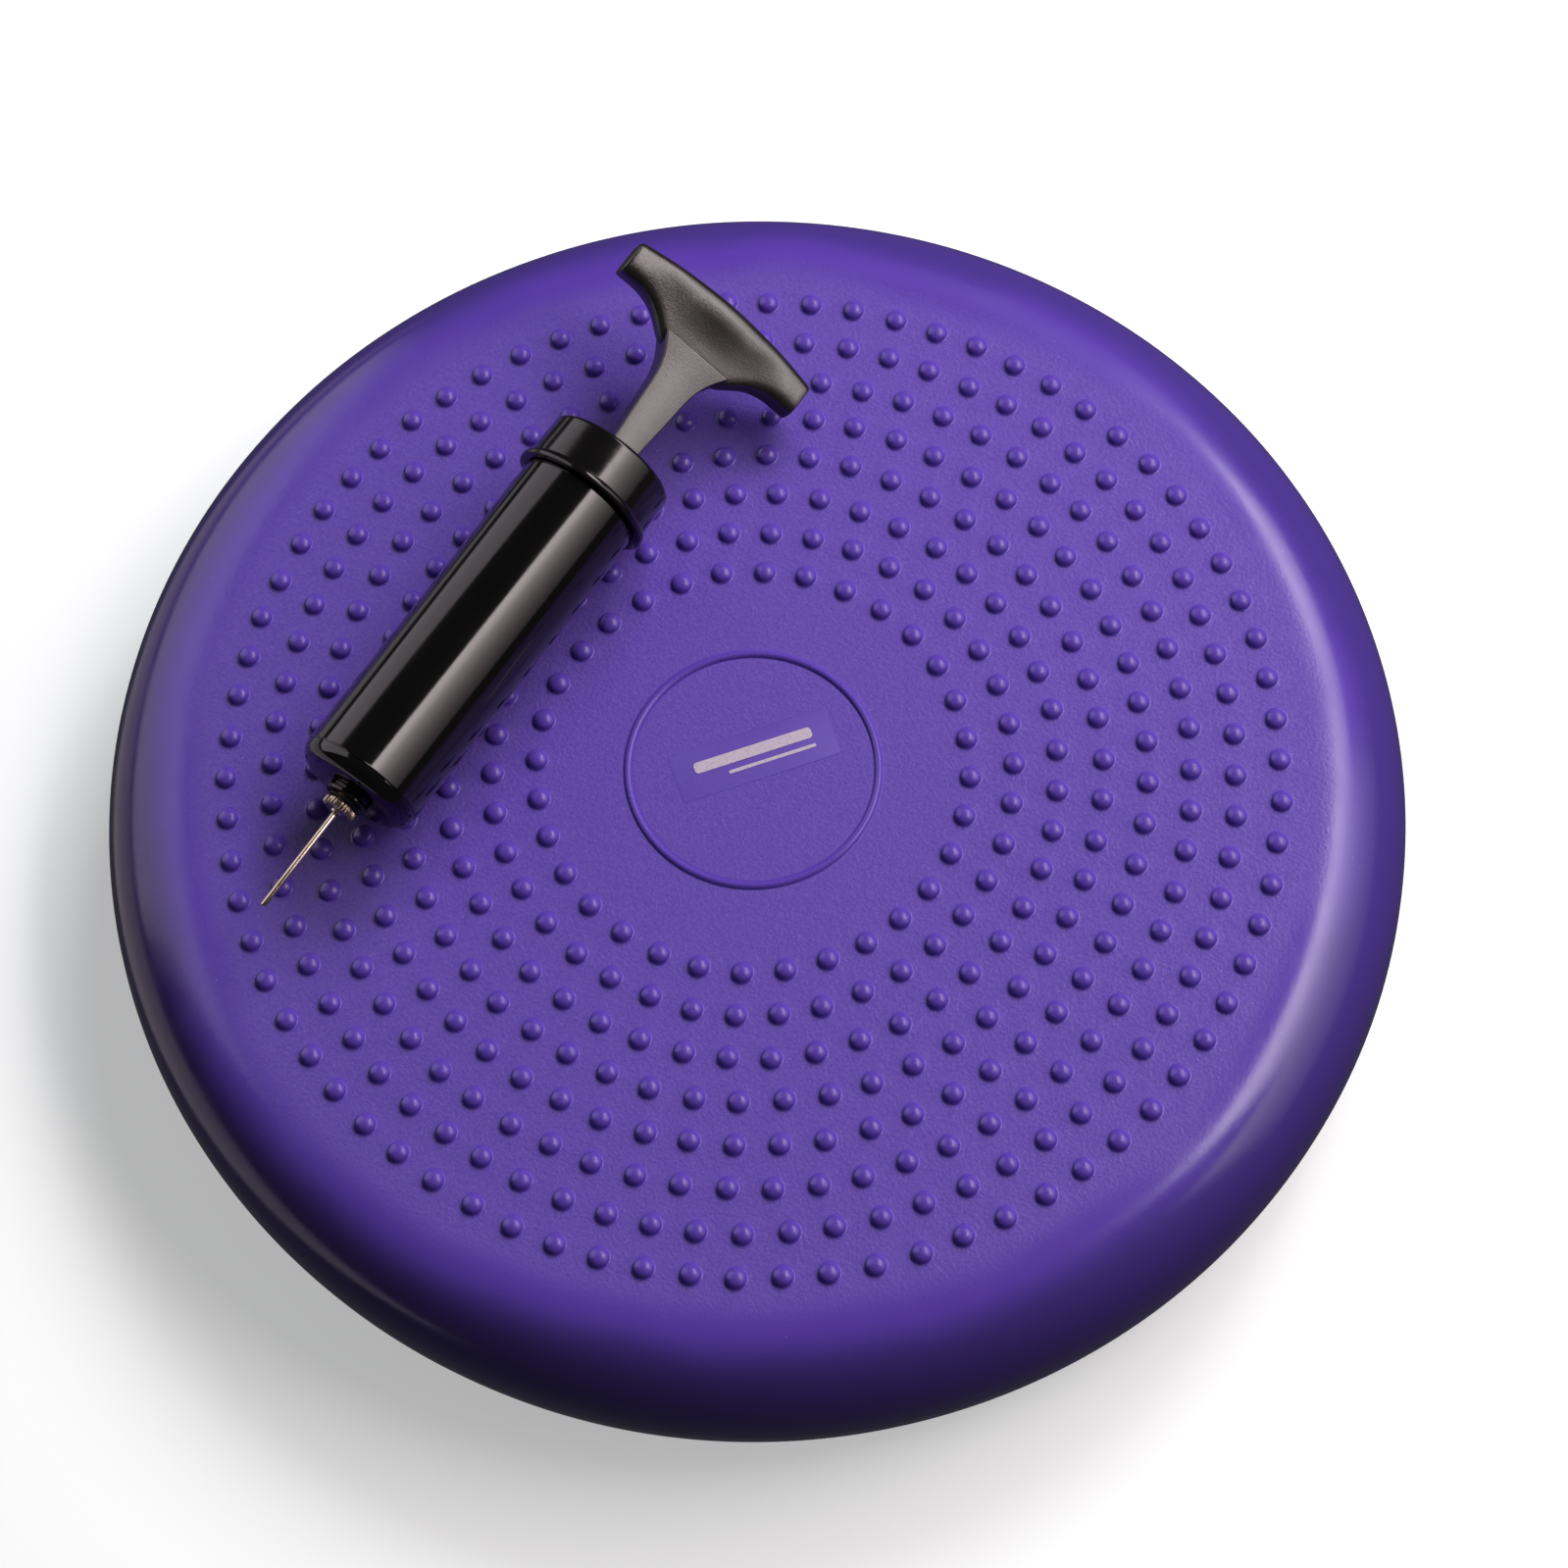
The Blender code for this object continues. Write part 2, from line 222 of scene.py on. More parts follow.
# ------------------------------------------------------------------ materials
class Nodes:
    def __init__(self, name):
        self.mat = bpy.data.materials.new(name)
        self.mat.use_nodes = True
        self.tree = self.mat.node_tree
        self.bsdf = self.tree.nodes["Principled BSDF"]
        self.coord = self.tree.nodes.new("ShaderNodeTexCoord")

    def new(self, kind, **props):
        n = self.tree.nodes.new(kind)
        for k, v in props.items():
            setattr(n, k, v)
        return n

    def set(self, **values):
        for k, v in values.items():
            self.bsdf.inputs[k.replace("_", " ")].default_value = v

    def wire(self, a, b):
        self.tree.links.new(a, b)

    def noise(self, scale, detail=2.0, rough=0.5, vector=None, distortion=0.0):
        n = self.new("ShaderNodeTexNoise")
        n.inputs["Scale"].default_value = scale
        n.inputs["Detail"].default_value = detail
        n.inputs["Roughness"].default_value = rough
        n.inputs["Distortion"].default_value = distortion
        self.wire(vector or self.coord.outputs["Object"], n.inputs["Vector"])
        return n.outputs["Fac"]

    def voronoi(self, scale, feature="F1", vector=None):
        n = self.new("ShaderNodeTexVoronoi", feature=feature)
        n.inputs["Scale"].default_value = scale
        self.wire(vector or self.coord.outputs["Object"], n.inputs["Vector"])
        return n.outputs["Distance"]

    def remap(self, value, a, b, c, d, smoothstep=False):
        n = self.new("ShaderNodeMapRange")
        if smoothstep:
            n.interpolation_type = "SMOOTHSTEP"
        for i, v in enumerate((a, b, c, d), 1):
            n.inputs[i].default_value = v
        self.wire(value, n.inputs[0])
        return n.outputs[0]

    def math(self, op, a, b=None):
        n = self.new("ShaderNodeMath", operation=op)
        for i, v in enumerate((a, b)):
            if v is None:
                continue
            if isinstance(v, (int, float)):
                n.inputs[i].default_value = v
            else:
                self.wire(v, n.inputs[i])
        return n.outputs[0]

    def mix(self, fac, a, b):
        n = self.new("ShaderNodeMix", data_type="RGBA")
        for sock, v in ((n.inputs[0], fac), (n.inputs[6], a), (n.inputs[7], b)):
            if isinstance(v, (int, float)):
                sock.default_value = v
            elif isinstance(v, tuple):
                sock.default_value = (*v, 1.0)
            else:
                self.wire(v, sock)
        return n.outputs[2]

    def bump(self, height, strength, distance, normal=None):
        n = self.new("ShaderNodeBump")
        n.inputs["Strength"].default_value = strength
        n.inputs["Distance"].default_value = distance
        self.wire(height, n.inputs["Height"])
        if normal:
            self.wire(normal, n.inputs["Normal"])
        return n.outputs["Normal"]

    def stretched(self, sx, sy, sz, rotation=(0, 0, 0)):
        n = self.new("ShaderNodeMapping")
        n.inputs["Scale"].default_value = (sx, sy, sz)
        n.inputs["Rotation"].default_value = rotation
        self.wire(self.coord.outputs["Object"], n.inputs["Vector"])
        return n.outputs["Vector"]


def pvc_material(name, polished=False):
    m = Nodes(name)
    m.set(IOR=1.5)
    sep = m.new("ShaderNodeSeparateXYZ")
    m.wire(m.coord.outputs["Object"], sep.inputs[0])
    r = m.math("SQRT", m.math("ADD", m.math("MULTIPLY", sep.outputs[0], sep.outputs[0]),
                              m.math("MULTIPLY", sep.outputs[1], sep.outputs[1])))
    wander = m.noise(14, 2)
    edge = m.math("ADD", r, m.remap(wander, 0.3, 0.7, -0.003, 0.003))
    rim = m.remap(edge, 0.1365, 0.1470, 0.0, 1.0, smoothstep=True)         # 0 on the faces, 1 on the rolled rim
    # painted shade: the base colour darkens towards the rim's outer bulge, standing in for shade the lamps leave out
    painted_rim_shade = m.remap(edge, 0.1460, 0.1560, 0.0, 1.0, smoothstep=True)
    grain = m.noise(1500, 3, 0.6)
    pebble = m.noise(1050, 2, 0.5)
    cloud = m.noise(9, 3, 0.55)
    base = m.mix(m.remap(cloud, 0.3, 0.7, 0.0, 1.0), (0.096, 0.046, 0.386), (0.105, 0.051, 0.414))
    base = m.mix(m.math("MULTIPLY", m.remap(grain, 0.35, 0.72, 0.0, 0.55), m.math("SUBTRACT", 1.0, rim)),
                 base, (0.165, 0.108, 0.48))
    # painted glints: sparse pale specks in the base colour stand in for sparkle off the pebbled grain
    painted_glint_specks = m.remap(m.voronoi(420), 0.05, 0.11, 1.0, 0.0)
    thin = m.remap(m.noise(160, 2), 0.60, 0.66, 0.0, 1.0)
    base = m.mix(m.math("MULTIPLY", m.math("MULTIPLY", painted_glint_specks, thin), 0.35), base, (0.42, 0.36, 0.62))
    # painted shade mixed in here: a darker purple on the outer rim
    base = m.mix(painted_rim_shade, base, (0.062, 0.033, 0.245))
    m.wire(base, m.bsdf.inputs["Base Color"])
    if polished:
        base.node.inputs[7].default_value = (0.105, 0.0515, 0.415, 1.0)
        base.node.inputs[0].default_value = 1.0
        for link in list(base.node.inputs[0].links):
            m.tree.links.remove(link)
        m.wire(m.remap(grain, 0.3, 0.7, 0.38, 0.24), m.bsdf.inputs["Roughness"])
        m.wire(m.bump(m.math("ADD", m.math("MULTIPLY", grain, 0.3), pebble), 0.35, 0.0001), m.bsdf.inputs["Normal"])
        return m.mat
    rough_face = m.remap(grain, 0.3, 0.7, 0.60, 0.40)
    rough_rim = m.remap(m.noise(90, 4, 0.6), 0.3, 0.7, 0.15, 0.24)
    mixr = m.new("ShaderNodeMix", data_type="FLOAT")
    m.wire(rim, mixr.inputs[0])
    m.wire(rough_face, mixr.inputs[2])
    m.wire(rough_rim, mixr.inputs[3])
    m.wire(mixr.outputs[0], m.bsdf.inputs["Roughness"])
    calm = m.remap(rim, 0.0, 1.0, 1.0, 0.10)
    height = m.math("MULTIPLY", m.math("ADD", m.math("MULTIPLY", grain, 0.6), pebble), calm)
    m.wire(m.bump(height, 0.70, 0.00022), m.bsdf.inputs["Normal"])
    return m.mat


def plastic(name, colour, rough, grain_scale, grain_bump, scratch=0.0, spread=0.04, axis_scale=(1, 1, 1), spec=0.5):
    m = Nodes(name)
    m.set(IOR=1.5, Specular_IOR_Level=spec)
    cloud = m.noise(60, 3, 0.6)
    dark = tuple(c * 0.75 for c in colour)
    m.wire(m.mix(m.remap(cloud, 0.35, 0.65, 0.0, 1.0), dark, colour), m.bsdf.inputs["Base Color"])
    fine = m.noise(grain_scale, 3, 0.6)
    smear = m.noise(130, 4, 0.65, vector=m.stretched(*axis_scale))
    m.wire(m.remap(m.math("ADD", smear, m.math("MULTIPLY", fine, 0.5)), 0.5, 1.0, rough - spread, rough + spread),
           m.bsdf.inputs["Roughness"])
    normal = m.bump(fine, grain_bump, 0.0001)
    if scratch:
        lines = m.noise(900, 2, 0.5, vector=m.stretched(1.0, 0.012, 1.0, (0.0, 0.0, 0.05)))
        normal = m.bump(m.remap(lines, 0.62, 0.72, 0.0, 1.0), scratch, 0.00002, normal)
    m.wire(normal, m.bsdf.inputs["Normal"])
    return m.mat


def metal(name, colour, dark, rough, brushed=(1, 1, 1)):
    m = Nodes(name)
    m.set(Metallic=1.0)
    stain = m.noise(240, 4, 0.65)
    m.wire(m.mix(m.remap(stain, 0.35, 0.7, 0.0, 1.0), colour, dark), m.bsdf.inputs["Base Color"])
    lines = m.noise(2600, 2, 0.6, vector=m.stretched(*brushed))
    m.wire(m.remap(lines, 0.3, 0.7, rough * 0.75, rough * 1.35), m.bsdf.inputs["Roughness"])
    m.wire(m.bump(lines, 0.25, 0.00003), m.bsdf.inputs["Normal"])
    return m.mat


def film_material():
    m = Nodes("clear_film")
    m.set(IOR=1.5, Alpha=0.38, Coat_Weight=0.2, Coat_Roughness=0.3)
    cloud = m.noise(120, 3)
    m.wire(m.mix(m.remap(cloud, 0.35, 0.65, 0.0, 1.0), (0.185, 0.105, 0.62), (0.200, 0.115, 0.66)),
           m.bsdf.inputs["Base Color"])
    m.wire(m.remap(m.noise(300, 3), 0.3, 0.7, 0.42, 0.52), m.bsdf.inputs["Roughness"])
    m.wire(m.bump(m.noise(420, 2), 0.12, 0.0001), m.bsdf.inputs["Normal"])
    return m.mat


def ink_material():
    m = Nodes("pale_print")
    wear = m.noise(1900, 3, 0.6)
    m.wire(m.mix(m.remap(wear, 0.45, 0.7, 0.0, 0.6), (0.56, 0.50, 0.58), (0.30, 0.24, 0.46)), m.bsdf.inputs["Base Color"])
    m.wire(m.remap(wear, 0.3, 0.7, 0.45, 0.6), m.bsdf.inputs["Roughness"])
    return m.mat


PVC = pvc_material("purple_pvc")
PVC_NUB = pvc_material("purple_pvc_polished", polished=True)
GLOSS = plastic("gloss_black_plastic", (0.0022, 0.0019, 0.0020), 0.095, 900, 0.02, scratch=0.10, spread=0.035,
                axis_scale=(1.0, 0.15, 1.0))
CAPMAT = plastic("cap_black_plastic", (0.0035, 0.0031, 0.0030), 0.14, 1300, 0.06, scratch=0.14, spread=0.05)
SATIN = plastic("satin_black_plastic", (0.0125, 0.0088, 0.0064), 0.29, 2400, 0.50, spread=0.02, spec=0.92)
VALVE_PVC = plastic("valve_pvc", (0.085, 0.046, 0.262), 0.34, 1100, 0.15)
VALVE_RUBBER = plastic("valve_rubber", (0.030, 0.022, 0.070), 0.62, 1400, 0.25)
NICKEL = metal("nickel_plated_brass", (0.52, 0.44, 0.37), (0.40, 0.31, 0.23), 0.26)
TUBE = metal("needle_steel", (0.52, 0.45, 0.37), (0.44, 0.36, 0.26), 0.12, (1.0, 0.03, 1.0))
BRASS = metal("brass", (0.62, 0.46, 0.20), (0.45, 0.30, 0.12), 0.28)
ZINC = metal("zinc_plated_steel", (0.60, 0.60, 0.58), (0.42, 0.42, 0.42), 0.30)
WASHER = metal("washer_steel", (0.52, 0.52, 0.52), (0.38, 0.38, 0.38), 0.34)
RUBBER = plastic("black_rubber", (0.018, 0.018, 0.018), 0.70, 1200, 0.3)
CUP = plastic("cup_rubber", (0.022, 0.021, 0.020), 0.48, 1000, 0.2)
NATURAL = plastic("piston_plastic", (0.52, 0.50, 0.45), 0.42, 900, 0.12)
FILM = film_material()
INK = ink_material()


# ------------------------------------------------------------------ cushion skin
def nub_centres():
    """Eight rings of nubs, six more in each ring than in the last, a little off their true places as moulded."""
    out = []
    for k in range(8):
        count, radius = 32 + 6 * k, 54.26 + 11.082 * k
        start = math.radians(37.5) + math.radians((6.1, 8.1, 1.2, 6.3, 1.6, 3.1, 1.9, 3.3)[k])
        for i in range(count):
            a = start + math.tau * i / count + rng.uniform(-0.22, 0.22) / radius
            r = radius + rng.uniform(-0.25, 0.25)
            out.append((r * math.cos(a), r * math.sin(a)))
    return out


def circle(cx, cy, r, n, start=0.0):
    return [(cx + r * math.cos(start + math.tau * i / n), cy + r * math.sin(start + math.tau * i / n)) for i in range(n)]


def rim_points(offset, count):
    a, b = DISC_R - 0.12 - RIM_START_R - offset, EQUATOR_Z - offset
    out = []
    for i in range(count):
        t = math.radians(90 - 180 * i / (count - 1))
        c, s = math.cos(t), math.sin(t)
        out.append((RIM_START_R + a * abs(c) ** (2 / RIM_POWER),
                    EQUATOR_Z + b * math.copysign(abs(s) ** (2 / RIM_POWER), s)))
    return out


def undulate(p):
    """Slight unevenness of an inflated moulding: height on the faces, radius on the rim."""
    x, y, z = p
    r = math.hypot(x, y)
    w = noise.noise(Vector((x * 0.011, y * 0.011, z * 0.02 + 3.1)))
    w2 = noise.noise(Vector((x * 0.030, y * 0.030, z * 0.05 + 9.7)))
    lift = 0.22 * w + 0.07 * w2
    if z > EQUATOR_Z:
        face = max(0.0, min(1.0, (150.0 - r) / 12.0)) * max(0.0, min(1.0, (r - 45.0) / 25.0))
        z = z + lift * face - 0.12 * face
    if r > 138:
        bulge = 0.35 + 1.15 * math.cos(math.atan2(y, x) - math.radians(37.5 + 62))
        k = 1 + (0.6 * lift + bulge) * min(1.0, (r - 138) / 20) / r
        x, y = x * k, y * k
    return x, y, z


def skin_mesh():
    verts, faces = [], []

    def ring(radius, z, n):
        first = len(verts)
        verts.extend((x, y, z) for x, y in circle(0, 0, radius, n))
        return list(range(first, first + n))

    def bridge(a, b):
        n = len(a)
        faces.extend((a[i], b[i], b[(i + 1) % n], a[(i + 1) % n]) for i in range(n))

    def fan(centre, a, flip=False):
        n = len(a)
        for i in range(n):
            tri = (centre, a[i], a[(i + 1) % n])
            faces.append(tuple(reversed(tri)) if flip else tri)

    # middle disc and raised ring
    n_in, n_out = 180, 360
    verts.append((0, 0, TOP_Z))
    rings = [ring(r, TOP_Z, n_in) for r in (3, 8, 13, 18, 23, 27, 29.4)]
    fan(0, rings[0])
    bead = [(30.05, 0.0), (30.28, -0.03), (30.36, 0.10), (30.55, 0.42), (30.86, 0.68), (31.15, 0.80), (31.4, 0.83),
            (31.65, 0.80), (31.95, 0.68), (32.25, 0.42), (32.44, 0.12), (32.53, 0.0), (32.8, 0.0)]
    rings += [ring(r, TOP_Z + z, n_in) for r, z in bead]
    for a, b in zip(rings, rings[1:]):
        bridge(a, b)
    bead_faces = (len(faces) - n_in * (len(bead) - 1), len(faces) - n_in)

    # nubbed annulus: triangles between the nubs' base circles
    centres = nub_centres()
    foot, n_foot = 3.2, 20
    pts = circle(0, 0, 32.8, n_in) + circle(0, 0, RIM_START_R, n_out)
    edges = [(i, (i + 1) % n_in) for i in range(n_in)]
    edges += [(n_in + i, n_in + (i + 1) % n_out) for i in range(n_out)]
    starts = []
    for cx, cy in centres:
        first = len(pts)
        starts.append(first)
        pts += circle(cx, cy, foot, n_foot)
        edges += [(first + i, first + (i + 1) % n_foot) for i in range(n_foot)]
    cells = {}
    for cx, cy in centres:
        cells.setdefault((int(cx // 12), int(cy // 12)), []).append((cx, cy))
    for k in range(1, 24):
        radius = 32.8 + (RIM_START_R - 32.8) * k / 24
        count = int(math.tau * radius / 4.6)
        for i in range(count):
            a = math.tau * (i + 0.5 * (k % 2)) / count
            x, y = radius * math.cos(a), radius * math.sin(a)
            near = [c for i2 in (-1, 0, 1) for j2 in (-1, 0, 1)
                    for c in cells.get((int(x // 12) + i2, int(y // 12) + j2), [])]
            if all(math.hypot(x - cx, y - cy) > 4.2 for cx, cy in near):
                pts.append((x, y))
    out = delaunay_2d_cdt([Vector(p) for p in pts], edges, [], 0, 1e-6)
    first = len(verts)
    verts.extend((p.x, p.y, TOP_Z) for p in out[0])
    for tri in out[2]:
        cx = sum(out[0][i].x for i in tri) / 3
        cy = sum(out[0][i].y for i in tri) / 3
        if math.hypot(cx, cy) < 32.79:
            continue
        near = [c for i2 in (-1, 0, 1) for j2 in (-1, 0, 1)
                for c in cells.get((int(cx // 12) + i2, int(cy // 12) + j2), [])]
        if any(math.hypot(cx - a, cy - b) < foot - 0.02 for a, b in near):
            continue
        faces.append(tuple(first + i for i in tri))

    # nubs: a tight fillet at the foot, steep sides, round top
    dome = [(3.04, 0.015), (2.86, 0.065), (2.72, 0.17), (2.645, 0.34)]
    dome += [(2.62 * math.cos(math.radians(a)), 0.44 + 1.60 * math.sin(math.radians(a))) for a in (12, 28, 44, 60, 76)]
    first_nub = len(faces)
    for cx, cy in centres:
        h = 1.0 + rng.uniform(-0.03, 0.02)
        last = list(range(len(verts), len(verts) + n_foot))
        verts.extend((x, y, TOP_Z) for x, y in circle(cx, cy, foot, n_foot))
        for r, z in dome:
            nxt = list(range(len(verts), len(verts) + n_foot))
            verts.extend((x, y, TOP_Z + z * h) for x, y in circle(cx, cy, r, n_foot))
            faces.extend((last[i], last[(i + 1) % n_foot], nxt[(i + 1) % n_foot], nxt[i]) for i in range(n_foot))
            last = nxt
        verts.append((cx, cy, TOP_Z + 2.04 * h))
        fan(len(verts) - 1, last)

    nub_faces = (first_nub, len(faces))

    # rolled rim with a fine mould seam round the equator, then the underside
    last = None
    for r, z in rim_points(0.0, 61):
        seam = 0.12 * math.exp(-((z - EQUATOR_Z) / 0.45) ** 2)
        nxt = ring(r + seam, z, n_out)
        if last:
            bridge(last, nxt)
        last = nxt
    under = [(128, 0), (112, 0), (96, 0), (80, 0), (64, 0), (48, 0), (34, 0), (32.6, 0.0), (32.2, 0.45), (31.4, 0.65),
             (30.6, 0.45), (30.2, 0.0), (29, 0), (20, 0), (10, 0)]
    for r, z in under:
        nxt = ring(r, z, n_out)
        bridge(last, nxt)
        last = nxt
    verts.append((0, 0, 0))
    fan(len(verts) - 1, last, flip=True)

    verts = [undulate(v) for v in verts]
    me = mesh_from("cushion_skin", verts, faces)
    for name in ("pvc", "polished"):
        me.materials.append(bpy.data.materials.new(name))
    for i in range(nub_faces[0], nub_faces[1]):
        me.polygons[i].material_index = 1
    for i in range(bead_faces[0], bead_faces[1]):
        me.polygons[i].material_index = 1
    tidy(me, weld=2e-6, outward=True)
    return me


def wall_mesh():
    """The inner wall, facing into the hollow."""
    profile = [(0, TOP_Z - WALL), (60, TOP_Z - WALL), (110, TOP_Z - WALL)] + rim_points(WALL, 17) + \
              [(110, WALL), (60, WALL), (0, WALL)]
    verts, faces = lathe(profile, 120)
    verts = [(x, z, y) for x, y, z in verts]          # turned about Z
    me = mesh_from("inner_wall", verts, faces)
    tidy(me)
    me.flip_normals()
    return me


def joined(a, b):
    bm = bmesh.new()
    bm.from_mesh(a)
    bm.from_mesh(b)
    me = bpy.data.meshes.new("joined")
    bm.to_mesh(me)
    bm.free()
    return me


VALVE = Matrix.Translation((0, 0, EQUATOR_Z * MM)) @ Matrix.Rotation(VALVE_AZIMUTH - math.pi / 2, 4, "Z")


def make_cushion():
    skin = joined(skin_mesh(), wall_mesh())
    v, f = lathe([(0, 175), (5.0, 175), (5.0, 152), (0, 152)], 48)
    cutter = mesh_from("cutter", v, f)
    tidy(cutter)
    cutter.transform(VALVE)
    me = boolean(skin, cutter, solver="FAST")
    smooth(me, 60)
    obj = piece("cushion_skin", me, (PVC, PVC_NUB), "cushion", ["cushion_shell"])

    seat = [(4.0, 164.6), (4.7, 164.6), (4.7, 160.8), (9.0, 160.8), (9.0, 158.9), (4.7, 158.9), (4.3, 150.5), (2.6, 150.5),
            (2.6, 162.9), (4.0, 162.9)]
    turned("valve_boss", rounded(seat + [seat[0]], [0, 0.25, 0, 0.4, 0.4, 0, 0.3, 0.2, 0, 0], 3)[:-1], 48, VALVE_PVC,
           "cushion", ["valve_seat"], VALVE, closed=True)
    core = [(0, 158.0), (0.30, 158.0), (0.36, 164.1), (0.62, 164.42), (3.1, 164.45), (3.7, 164.1), (3.7, 163.2), (2.3, 163.2),
            (2.3, 152.0), (1.5, 149.6), (0, 149.6)]
    turned("valve_plug", rounded(core, [0, 0, 0, 0.15, 0.3, 0.15, 0.1, 0, 0.3, 0.3], 3), 40, VALVE_RUBBER,
           "cushion", ["valve_core"], VALVE)


# ------------------------------------------------------------------ label
def round_rect(w, h, r, n=5, cx=0.0, cy=0.0):
    out = []
    for sx, sy, a0 in ((1, -1, -90), (1, 1, 0), (-1, 1, 90), (-1, -1, 180)):
        for i in range(n + 1):
            a = math.radians(a0 + 90 * i / n)
            out.append((cx + sx * (w / 2 - r) + r * math.cos(a), cy + sy * (h / 2 - r) + r * math.sin(a)))
    return out


def make_label():
    me = bevelled(prism(round_rect(41.6, 13.4, 0.9), 0.02, 0.15), 0.04, 2)
    smooth(me, 40)
    piece("label_sheet", me, FILM, "cushion", ["label_film"], LABEL)
    bars = [(31.0, 3.0, 0.0, 1.2), (23.0, 0.9, 4.0, -2.5)]
    whole = None
    for w, h, cx, cy in bars:
        bar = prism(round_rect(w, h, min(h * 0.45, 1.0), cx=cx, cy=cy), 0.16, 0.185)
        whole = joined(whole, bar) if whole else bar
    piece("label_print", whole, INK, "cushion", matrix=LABEL)


# ------------------------------------------------------------------ pump
def make_pump():
    nose = -95.4
    body = [(14.6, 11.5), (15.6, 11.5), (15.6, -0.3), (16.4, -0.3), (16.4, -90.6), (16.46, -90.8), (16.40, -91.0),
            (16.22, -91.1), (16.22, nose), (4.95, nose), (4.95, nose - 1.2),
            (6.05, nose - 1.2), (6.05, -97.7), (4.5, -97.7), (4.5, -93.0), (1.0, -93.0), (1.0, -92.0), (14.6, -92.0)]
    radii = [0, 0.3, 0, 0.15, 0, 0, 0, 0, 4.1, 0.35, 0.1, 0.2, 0.3, 0.2, 0, 0, 0, 0.4]
    v, f = lathe(rounded(body + [body[0]], radii, 10)[:-1], 128, closed=True)
    me = mesh_from("barrel", v, f)
    tidy(me)
    for k in range(4):                                    # four ribs behind the stub's ring
        rib = prism([(-0.8, nose + 0.4), (0.8, nose + 0.4), (0.8, nose - 1.5), (-0.8, nose - 1.5)], 4.7, 5.6)
        rib.transform(Matrix.Rotation(math.radians(90 * k + 20), 4, "Y"))
        me = boolean(me, rib, "UNION")
    smooth(me, 32)
    piece("barrel", me, GLOSS, "pump", ["pump_barrel"], PUMP)

    top = 14.5
    cap = [(0, top), (15.4, top), (17.35, top - 0.7), (17.6, 2.2), (18.6, 1.7), (18.8, 0.9), (18.6, 0.05), (15.9, 0),
           (15.9, top - 2.8), (0, top - 2.8)]
    v, f = lathe(rounded(cap, [0, 1.2, 1.2, 0.5, 0.4, 0.5, 0.3, 0.1, 0.3, 0], 6), 128)
    me = mesh_from("cap", v, f)
    tidy(me)
    slot = prism(round_rect(8.6, 10.0, 0.9), -3, 3)        # in X and Y, cut along the pump
    slot.transform(Matrix.Translation((0, (top - 1.4) * MM, 0)) @ Matrix.Rotation(math.radians(25.7), 4, "Y")
                   @ Matrix.Rotation(math.radians(-90), 4, "X"))
    me = boolean(me, slot)
    smooth(me, 32)
    piece("end_cap", me, CAPMAT, "pump", ["pump_cap"], PUMP)


def make_handle():
    side = [(4.0, -84.0), (4.0, 16.0), (4.05, 20.0), (4.6, 26.0), (4.95, 31.0), (5.3, 36.0), (5.9, 40.0), (6.7, 42.6),
            (7.7, 44.8), (8.9, 46.8), (10.4, 49.2)]
    curve = [side[0]] + catmull(side[1:], 4)
    me_web = bevelled(prism(curve + [(-x, y) for x, y in reversed(curve)], -4.7, 4.7), 1.1, 4)

    verts, faces, rings = [], [], []
    half, stations = 28.4, 56

    def interp(table, x):
        for (x0, y0), (x1, y1) in zip(table, table[1:]):
            if x <= x1:
                t = (x - x0) / (x1 - x0)
                return y0 + (y1 - y0) * t
        return table[-1][1]

    low_line = catmull([(0, 46.6), (5, 46.5), (9, 46.3), (11.8, 48.2), (14.6, 50.4), (17.6, 52.0), (21.0, 52.9),
                        (24.6, 53.1), (28.6, 52.9)], 8)
    stops = [0.0, 0.004, 0.012] + [i / stations for i in range(1, stations)] + [0.988, 0.996, 1.0]
    for s in stops:
        u = -half + 2 * half * s
        k = abs(u) / half
        inset = {0.0: 0.45, 0.004: 0.16, 0.012: 0.03, 0.988: 0.03, 0.996: 0.16, 1.0: 0.45}.get(s, 0.0)
        high = 65.6 - 2.9 * k * k
        low = interp(low_line, abs(u))
        tall, t = high - low, 5.25 - 0.35 * k * k
        middle = [(0.0, 1.6), (0.045, 2.7), (0.14, 2.95), (0.34, 3.35), (0.55, 4.20), (0.70, 4.95), (0.84, 5.25), (0.95, 4.8),
                  (1.0, 2.9)]
        arm = [(0.0, 2.2), (0.07, 3.8), (0.17, 4.5), (0.34, 4.85), (0.55, 4.95), (0.73, 4.9), (0.86, 4.7), (0.96, 3.9),
               (1.0, 2.1)]
        w = min(1.0, k * 1.25) ** 1.6
        ctrl = [(low, 0.0)]
        for (f0, n0), (f1, n1) in zip(middle, arm):
            ctrl.append((low + tall * (f0 + (f1 - f0) * w), (n0 + (n1 - n0) * w) * t / 5.25))
        ctrl.append((high, 0.0))
        ctrl += [(v, -n) for v, n in reversed(ctrl[1:-1])]
        pts = chaikin(ctrl, 2)
        mid = (low + high) / 2
        ring = []
        for v, n in pts:
            if inset:
                v = mid + (v - mid) * (1 - inset / 5.0)
                n = n * (1 - inset / 4.6)
            ring.append(len(verts))
            verts.append((u, v, n))
        rings.append(ring)
    m = len(rings[0])
    for a, b in zip(rings, rings[1:]):
        faces += [(a[i], a[(i + 1) % m], b[(i + 1) % m], b[i]) for i in range(m)]
    faces += [tuple(reversed(rings[0])), tuple(rings[-1])]
    grip = mesh_from("grip", verts, faces)
    tidy(grip)
    me = boolean(me_web, grip, "UNION")
    v, f = lathe([(0, -71), (1.6, -71), (1.6, -86), (0, -86)], 24)
    hole = mesh_from("hole", v, f)
    tidy(hole)
    me = boolean(me, hole)
    smooth(me, 30)
    piece("handle", me, SATIN, "plunger", ["plunger_handle"], ROLL)


